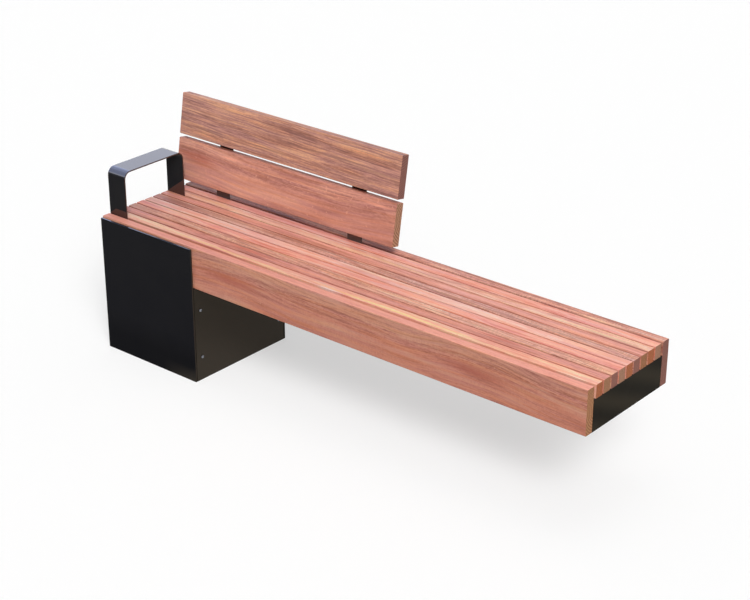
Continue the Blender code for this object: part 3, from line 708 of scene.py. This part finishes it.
steel = {
    "panelHeight": 0.445,
    "seatTop": 0.450,
    "seatLeft": -0.1965,
    "reflectionSlope": 0.726,         # how much higher the feet's painted brown reflection is for each metre to the right
    "reflectionFront": 20 * mm,       # its greatest height above the seat on the front leg, and on the rear leg
    "reflectionRear": 54 * mm,
    "reflectionPlaces": (-0.10, 0.0),     # where it goes from the one height to the other, front to back
    "reflectionEdge": 1 * mm,
    "splashAcross": (0.05, 0.19),   # where the corner's painted reflection starts and is full, to the right
    "splashUp": (0.045, 0.0),       # the same downwards
    "edgeFacing": (0.60, 0.90),     # how squarely a face looks sideways to count as cut edge
    "topFacing": 0.30,          # faces that look up more than this get the glossy coat
    "cloud": (90 * mm, 2.0),    # size and detail of the coat's noises
    "dust": (4 * mm, 3.0),
    "peel": (2.2 * mm, 1.0),
    "cloudRange": (0.35, 0.65),
    "glossChange": 0.02,
    "peelDepth": 0.02 * mm,
    "peelStrength": 0.12,
    "rounding": {"plate": 0.8 * mm, "bar": 0.5 * mm, "section": 1.6 * mm},
}

# cloud is the share of the dust's colour in the paler clouds of the coat, which are 90 mm wide
usualCoat = {"cloud": 0.12, "dust": "#3A3733", "tint": "#FFFFFF"}
coats = {
    # all upward faces: wiped clean and glossy, so they mirror the pale sky
    "topCoat": {"colour": "#0A0A0D", "roughness": 0.08, "specular": 0.5, "dust": "#0E0E12"},
    # front and rear panel: satin, with painted reflection: darker towards the ground, brown on the cut
    # edges and in a low corner
    "panelCoat": {"roughness": 0.30, "specular": 0.02, "edge": "#352F29",
                  "heights": [(0.0, "#0D0D11"), (0.14, "#0D0D11"), (0.32, "#16161A"), (1.0, "#1A1A1D")],
                  "cloud": 0.03, "corner": "#3A352F"},
    # side panels: glossier, and a little brown in what they mirror
    "sideCoat": {"colour": "#14110E", "roughness": 0.20, "specular": 0.33, "tint": "#FFE0B6",
                 "dust": "#1E1A15"},
    # end plates: dull, brownish as a painted warm reflection, with faint slanting bands of painted light
    "endCoat": {"colour": "#2B251A", "roughness": 0.20, "specular": 0.02, "dust": "#2A241B",
                "bandShade": "#161208", "bandRise": 2.07, "bandGap": 0.19, "bandMiddle": 0.693},
    # armrest: dull on its legs, with a painted reflection of the timber's brown on its feet and a painted
    # warm tone on its edges
    "armCoat": {"colour": "#19191C", "roughness": 0.22, "specular": 0.03, "edge": "#523A31",
                "foot": "#4E352F"},
    # backrest brackets: the same painted reflection of the timber on their feet, a little glossier
    "bracketCoat": {"colour": "#201E20", "roughness": 0.25, "specular": 0.06, "foot": "#6C5E5A"},
    # beams, rails, bearers and welds: plain satin black
    "hiddenCoat": {"colour": "#1B1B1E", "roughness": 0.30, "specular": 0.10},
}

steelPieces = {
    "panelCoat": {"front_panel": "plate", "rear_panel": "plate"},
    "sideCoat": {"left_side_panel": "bar", "right_side_panel": "bar"},
    "endCoat": {"base_end_plate": "bar", "free_end_plate": "bar"},
    "armCoat": {"armrest": "bar"},
    "bracketCoat": {"left_bracket": "bar", "right_bracket": "bar"},
    "hiddenCoat": {"front_fascia_rail": "bar", "rear_fascia_rail": "bar",
                   "front_beam": "section", "rear_beam": "section",
                   "bearer_1": "bar", "bearer_2": "bar", "bearer_3": "bar", "bearer_4": "bar",
                   "bearer_5": "bar"},
}


def paintedLightBands(tree, colour, place, look):
    # Painted light: soft diagonal bands about 80 mm apart.
    turns = math.tau / look["bandGap"]
    across, up = axisOf(tree, place, "Y"), axisOf(tree, place, "Z")
    slant = calculate(tree, "MULTIPLY_ADD", up, look["bandRise"], across)
    slant = calculate(tree, "MULTIPLY_ADD", slant, turns, math.pi / 2 - turns * look["bandMiddle"])
    band = spread(tree, calculate(tree, "SINE", slant), -1.0, 1.0)
    return mixColour(tree, band, look["bandShade"], colour)


def paintedCornerReflection(tree, colour, place, look):
    # Painted reflection in the low corner beside the open ground.
    beside = spread(tree, axisOf(tree, place, "X"), *steel["splashAcross"])
    near = spread(tree, axisOf(tree, place, "Z"), *steel["splashUp"])
    return mixColour(tree, calculate(tree, "MULTIPLY", beside, near), colour, look["corner"])


def paintedTimberReflection(tree, colour, place, look):
    # A painted reflection of the timber: a brown tone on the feet. It is higher to the right.
    rise = calculate(tree, "ADD", axisOf(tree, place, "X"), -steel["seatLeft"])
    rise = calculate(tree, "MULTIPLY", rise, steel["reflectionSlope"])
    front, rear = steel["reflectionPlaces"]
    most = addNode(tree, "MapRange", {"Value": axisOf(tree, place, "Y"), "From Min": front,
                                      "From Max": rear, "To Min": steel["reflectionFront"],
                                      "To Max": steel["reflectionRear"]}).outputs[0]
    rise = calculate(tree, "MINIMUM", rise, most)
    rise = calculate(tree, "ADD", rise, steel["seatTop"])
    below = calculate(tree, "SUBTRACT", rise, axisOf(tree, place, "Z"))
    mirrored = spread(tree, below, -steel["reflectionEdge"], steel["reflectionEdge"])
    return mixColour(tree, mirrored, colour, look["foot"])


def coatNoise(tree, place, size, detail):
    return addNode(tree, "TexNoise", {"Vector": place, "Scale": 1 / size, "Detail": detail}).outputs["Fac"]


def powderCoat(name, look):
    # Smooth black coat, 80 micrometres thick, with the faint orange peel of a sprayed powder.
    look = usualCoat | look
    material, tree, shader = newMaterial("black_powder_coat_" + name)
    coordinates = addNode(tree, "TexCoord").outputs
    place = coordinates["Object"]
    # painted reflection: the panels get darker towards the ground
    if "heights" in look:
        height = calculate(tree, "DIVIDE", axisOf(tree, place, "Z"), steel["panelHeight"])
        colour = addRamp(tree, height, look["heights"])
    else:
        colour = hexColour(look["colour"])
    if "bandShade" in look:
        colour = paintedLightBands(tree, colour, place, look)
    if "corner" in look:
        colour = paintedCornerReflection(tree, colour, place, look)
    if "edge" in look:
        # faces that look sideways, the cut edges, get a browner tone: a painted warm reflection
        facing = calculate(tree, "ABSOLUTE", axisOf(tree, coordinates["Normal"], "X"))
        colour = mixColour(tree, spread(tree, facing, *steel["edgeFacing"]), colour, look["edge"])
    if "foot" in look:
        colour = paintedTimberReflection(tree, colour, place, look)
    cloud = coatNoise(tree, place, *steel["cloud"])
    cloud = spread(tree, cloud, *steel["cloudRange"], look["cloud"])
    colour = mixColour(tree, cloud, colour, look["dust"])
    tree.links.new(colour, shader.inputs["Base Color"])
    dusty = coatNoise(tree, place, *steel["dust"])
    gloss = addNode(tree, "MapRange", {"Value": dusty, "To Min": look["roughness"] - steel["glossChange"],
                                       "To Max": look["roughness"] + steel["glossChange"]})
    tree.links.new(gloss.outputs["Result"], shader.inputs["Roughness"])
    shader.inputs["Specular IOR Level"].default_value = look["specular"]
    shader.inputs["Specular Tint"].default_value = hexColour(look["tint"])
    peel = coatNoise(tree, place, *steel["peel"])
    bump = addNode(tree, "Bump", {"Strength": steel["peelStrength"], "Distance": steel["peelDepth"],
                                  "Height": peel})
    tree.links.new(bump.outputs[0], shader.inputs["Normal"])
    return material


def easedMesh(name, node, rounding):
    # The CAD node's shape with its sharp edges eased, as a grinder and the coat leave them.
    shape = bmesh.new()
    shape.from_mesh(nodes[node].data)
    bmesh.ops.remove_doubles(shape, verts=shape.verts, dist=meshing["sameSpot"])
    bmesh.ops.dissolve_limit(shape, angle_limit=math.radians(meshing["flatAngle"]), verts=shape.verts,
                             edges=shape.edges)
    sharp = [edge for edge in shape.edges
             if edge.is_manifold and edge.calc_face_angle() > math.radians(meshing["easedAngle"])]
    bmesh.ops.bevel(shape, geom=sharp, offset=rounding, offset_type="OFFSET", profile=0.5,
                    segments=meshing["easedSteps"], affect="EDGES", clamp_overlap=True)
    return meshOf(name, shape, meshing["crease"])


def addSteel():
    top = powderCoat("topCoat", coats["topCoat"])
    for coat, pieces in steelPieces.items():
        material = powderCoat(coat, coats[coat])
        for node, form in pieces.items():
            mesh = easedMesh("coated_" + node, node, steel["rounding"][form])
            addPiece(mesh, [material, top], node)
            for face in mesh.polygons:
                face.material_index = int(face.normal.z > steel["topFacing"])
    print("coated steel:", sum(len(pieces) for pieces in steelPieces.values()))


# Weld beads in the corners where the bearers and the end plates meet the beams

welds = {
    "radius": 2.4 * mm,
    "ripple": 1.5 * mm,         # one frozen ripple of the weld pool
    "ringsPerRipple": 3,
    "rippleHeight": 0.10,       # shares of the radius
    "unevenness": 0.12,
    "unevenStep": 0.11,
    "seedStep": 7,
    "endWidth": 0.35,
    "endGrowth": 0.16,          # how much wider each ring is, from the ends inwards
    "sides": 10,
    "endGap": 3 * mm,
}


def weldBead(shape, start, end, seed):
    # A rounded bead, rippled as the weld pool froze, and thinner at its ends.
    along = (end - start).normalized()
    across = along.orthogonal().normalized()
    other = along.cross(across)
    length = (end - start).length
    count = round(length / welds["ripple"]) * welds["ringsPerRipple"]
    rings = []
    for i in range(count + 1):
        wave = welds["rippleHeight"] * math.cos(i / welds["ringsPerRipple"] * math.tau)
        spot = Vector((i * welds["unevenStep"], seed * welds["seedStep"], 0))
        wave += welds["unevenness"] * noise.noise(spot)
        taper = min(1.0, welds["endWidth"] + min(i, count - i) * welds["endGrowth"])
        reach = welds["radius"] * (1 + wave) * taper
        middle = start + along * (length * i / count)
        angles = [math.tau * k / welds["sides"] for k in range(welds["sides"])]
        rings.append([shape.verts.new(middle + (across * math.cos(a) + other * math.sin(a)) * reach)
                      for a in angles])
    skinRings(shape, rings)


def addWelds():
    beamLow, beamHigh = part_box("front_beam")
    frontY, rearY = beamHigh.y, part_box("rear_beam")[0].y
    gap = welds["endGap"]
    shape = bmesh.new()
    count = 0
    for y in (frontY, rearY):
        spans = []
        for number in range(1, 6):
            low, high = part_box("bearer_%d" % number)
            spans.append(((low.x + gap, y, low.z), (high.x - gap, y, low.z)))
        for x in (beamLow.x, beamHigh.x):
            spans.append(((x, y, beamLow.z + 2 * gap), (x, y, beamHigh.z - 2 * gap)))
        for start, end in spans:
            weldBead(shape, Vector(start), Vector(end), count)
            count += 1
    mesh = meshOf("weld_beads", shape, meshing["weldCrease"])
    addPiece(mesh, [powderCoat("weldCoat", coats["hiddenCoat"])])
    print("weld beads:", count)


# Bare metal: the screws, and the zinc of the posts, the base plate and the anchors

slatScrews = {
    "radius": 4.6 * mm,         # pan head of a 5 mm stainless wood screw
    "height": 2.8 * mm,
    # across and down, as shares of the radius and the height, from the rim to the dome
    "profile": [(1.0, 0.0), (1.0, 0.30), (0.97, 0.55), (0.85, 0.82), (0.66, 0.97), (0.55, 1.0)],
    "socketRadius": 1.9 * mm,
    "socketDepth": 1.8 * mm,
    "outerPlace": 0.100,        # screws of slats 2 and 8 sit beside the beams
    "sides": 24,
}


def screwHead(shape, middle):
    # Head that looks down: a domed rim, and a hexagonal socket sunk into it.
    radius, height = slatScrews["radius"], slatScrews["height"]
    angles = [math.tau * k / slatScrews["sides"] for k in range(slatScrews["sides"])]
    rings = []
    for share, drop in slatScrews["profile"]:
        reach = radius * share
        rings.append([(reach * math.cos(a), reach * math.sin(a), -height * drop) for a in angles])
    sixth = math.pi / 3
    for drop in (-height, -height + slatScrews["socketDepth"]):
        ring = []
        for a in angles:
            reach = slatScrews["socketRadius"] * math.cos(sixth / 2)
            reach /= math.cos((a + sixth / 2) % sixth - sixth / 2)
            ring.append((reach * math.cos(a), reach * math.sin(a), drop))
        rings.append(ring)
    skinRings(shape, [[shape.verts.new(middle + Vector(place)) for place in ring] for ring in rings])


def addSlatScrews(stainless):
    # Under each bearer, one screw for each slat that isn't over a beam.
    shape = bmesh.new()
    count = 0
    most = slatScrews["outerPlace"]
    for number in range(1, 6):
        low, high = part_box("bearer_%d" % number)
        for slat in range(2, 9):
            slatLow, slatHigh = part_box("slat_%d" % slat)
            y = max(-most, min(most, (slatLow.y + slatHigh.y) / 2))
            screwHead(shape, Vector(((low.x + high.x) / 2, y, low.z)))
            count += 1
    addPiece(meshOf("slat_screw_heads", shape, meshing["crease"]), [stainless])
    print("slat screws:", count)


bareMetals = {
    # plain grey stainless, and pale zinc with spangles 9 mm wide
    "plain_stainless_steel": {"colour": "#8E9097", "roughness": 0.22, "grain": 0.8 * mm},
    "hot_dip_galvanised_steel": {"colour": "#A7AAAD", "roughness": 0.45, "grain": 9 * mm},
}
bareDarkest = 0.8               # tone of the darkest grain, as a share of the brightest
bareGlossChange = 0.06


def bareSteel(name):
    # Bright metal whose grain or spangle changes its tone and gloss a little.
    look = bareMetals[name]
    material, tree, shader = newMaterial(name)
    place = addNode(tree, "TexCoord").outputs["Object"]
    spangle = addNode(tree, "TexVoronoi", {"Vector": place, "Scale": 1 / look["grain"]}).outputs["Color"]
    value = addNode(tree, "SeparateColor", {0: spangle}).outputs[0]
    bright = hexColour(look["colour"])
    dark = (*[bareDarkest * each for each in bright[:3]], 1.0)
    tree.links.new(mixColour(tree, value, dark, bright), shader.inputs["Base Color"])
    gloss = addNode(tree, "MapRange", {"Value": value, "To Min": look["roughness"] - bareGlossChange,
                                       "To Max": look["roughness"] + bareGlossChange})
    tree.links.new(gloss.outputs["Result"], shader.inputs["Roughness"])
    shader.inputs["Metallic"].default_value = 1.0
    return material


def addBareMetal():
    stainless, zinc = [bareSteel(name) for name in bareMetals]
    addSlatScrews(stainless)
    for name, node in nodes.items():
        metal = stainless if "screw" in name else zinc
        if "screw" in name or "anchor" in name or "post" in name or name == "base_plate":
            node.data.materials.clear()
            node.data.materials.append(metal)


scene.view_settings.view_transform = "Standard"
addCamera()
addSky()
addFloor()
addSoftboxes()
print("studio ready")
addBoards()
addSteel()
addWelds()
addBareMetal()
